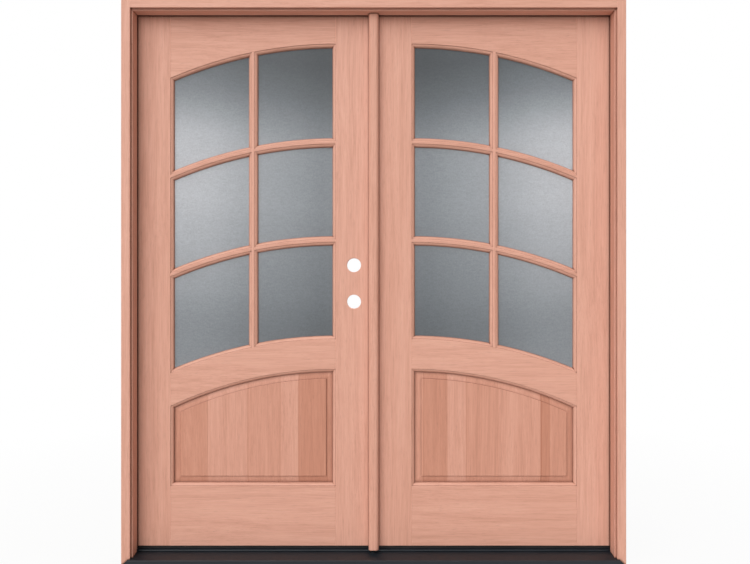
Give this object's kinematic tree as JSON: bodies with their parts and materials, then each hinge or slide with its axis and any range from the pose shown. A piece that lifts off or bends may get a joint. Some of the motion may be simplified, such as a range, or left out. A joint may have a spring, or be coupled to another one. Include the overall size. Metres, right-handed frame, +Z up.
{
  "type": "arched glass double door",
  "caption": "Inswing wooden double door with arched bars, textured glass lites and raised panels, in a rabbeted frame with a metal sill and a round-fronted astragal.",
  "frame": {"origin": "middle of the sill's foot, at half the depth of the jambs", "axes": "+X across the doorway to the right seen from outside, +Y from outside to inside, +Z up"},
  "size_m": [1.871, 0.1395, 2.096],
  "materials": {
    "leaf_wood": "bare sanded, fine grain",
    "frame_wood": "bare sanded, fine grain",
    "panel_wood": "bare sanded, upright staves",
    "textured_glass": "fine hammered obscure",
    "clear_glass": "smooth",
    "spacer_metal": "satin",
    "sill_metal": "dark satin",
    "sill_core": "plain composite",
    "seal_rubber": "matte",
    "bronze_metal": "oiled bronze"
  },
  "bodies": {
    "frame": {"left_jamb": "frame_wood", "right_jamb": "frame_wood", "head_jamb": "frame_wood", "sill_deck": "sill_metal", "sill_substrate": "sill_core", "threshold_cap": "sill_metal", "left_weatherstrip": "seal_rubber", "right_weatherstrip": "seal_rubber", "head_weatherstrip": "seal_rubber", "frame_screws": "bronze_metal", "left_hinge_frame_plates": "bronze_metal", "right_hinge_frame_plates": "bronze_metal", "left_hinge_pins": "bronze_metal", "right_hinge_pins": "bronze_metal", "hinge_frame_screws": "bronze_metal"},
    "active_leaf": {"active_hinge_stile": "leaf_wood", "active_lock_stile": "leaf_wood", "active_top_rail": "leaf_wood", "active_middle_rail": "leaf_wood", "active_bottom_rail": "leaf_wood", "active_panel": "panel_wood", "active_upright_bar": "leaf_wood", "active_upper_bar_outer": "leaf_wood", "active_upper_bar_inner": "leaf_wood", "active_lower_bar_outer": "leaf_wood", "active_lower_bar_inner": "leaf_wood", "active_outer_glass": "textured_glass", "active_inner_glass": "clear_glass", "active_glass_spacers": "spacer_metal", "active_glazing_beads": "leaf_wood", "active_door_sweep": "seal_rubber", "active_hinge_plates": "bronze_metal", "active_hinge_screws": "bronze_metal"},
    "passive_leaf": {"passive_hinge_stile": "leaf_wood", "passive_meeting_stile": "leaf_wood", "passive_top_rail": "leaf_wood", "passive_middle_rail": "leaf_wood", "passive_bottom_rail": "leaf_wood", "passive_panel": "panel_wood", "passive_upright_bar": "leaf_wood", "passive_upper_bar_outer": "leaf_wood", "passive_upper_bar_inner": "leaf_wood", "passive_lower_bar_outer": "leaf_wood", "passive_lower_bar_inner": "leaf_wood", "passive_outer_glass": "textured_glass", "passive_inner_glass": "clear_glass", "passive_glass_spacers": "spacer_metal", "passive_glazing_beads": "leaf_wood", "passive_door_sweep": "seal_rubber", "passive_hinge_plates": "bronze_metal", "passive_hinge_screws": "bronze_metal", "astragal": "frame_wood", "astragal_seal": "seal_rubber", "top_bolt_plate": "bronze_metal", "bottom_bolt_plate": "bronze_metal"},
    "top_bolt": {"top_bolt": "bronze_metal"},
    "bottom_bolt": {"bottom_bolt": "bronze_metal"}
  },
  "joints": [
    {"name": "active_swing", "type": "hinge", "parent": "frame", "child": "active_leaf", "pos_m": [-0.915, 0.065, 0], "axis": [0, 0, 1], "range_deg": [0, 120]},
    {"name": "passive_swing", "type": "hinge", "parent": "frame", "child": "passive_leaf", "pos_m": [0.915, 0.065, 0], "axis": [0, 0, -1], "range_deg": [0, 108]},
    {"name": "top_bolt_slide", "type": "slide", "parent": "passive_leaf", "child": "top_bolt", "axis": [0, 0, 1], "range_m": [0, 0.018]},
    {"name": "bottom_bolt_slide", "type": "slide", "parent": "passive_leaf", "child": "bottom_bolt", "axis": [0, 0, -1], "range_m": [0, 0.018]}
  ],
  "couplings": [
    {"joint": "passive_swing", "follows": "active_swing", "ratio": 0.9}
  ]
}
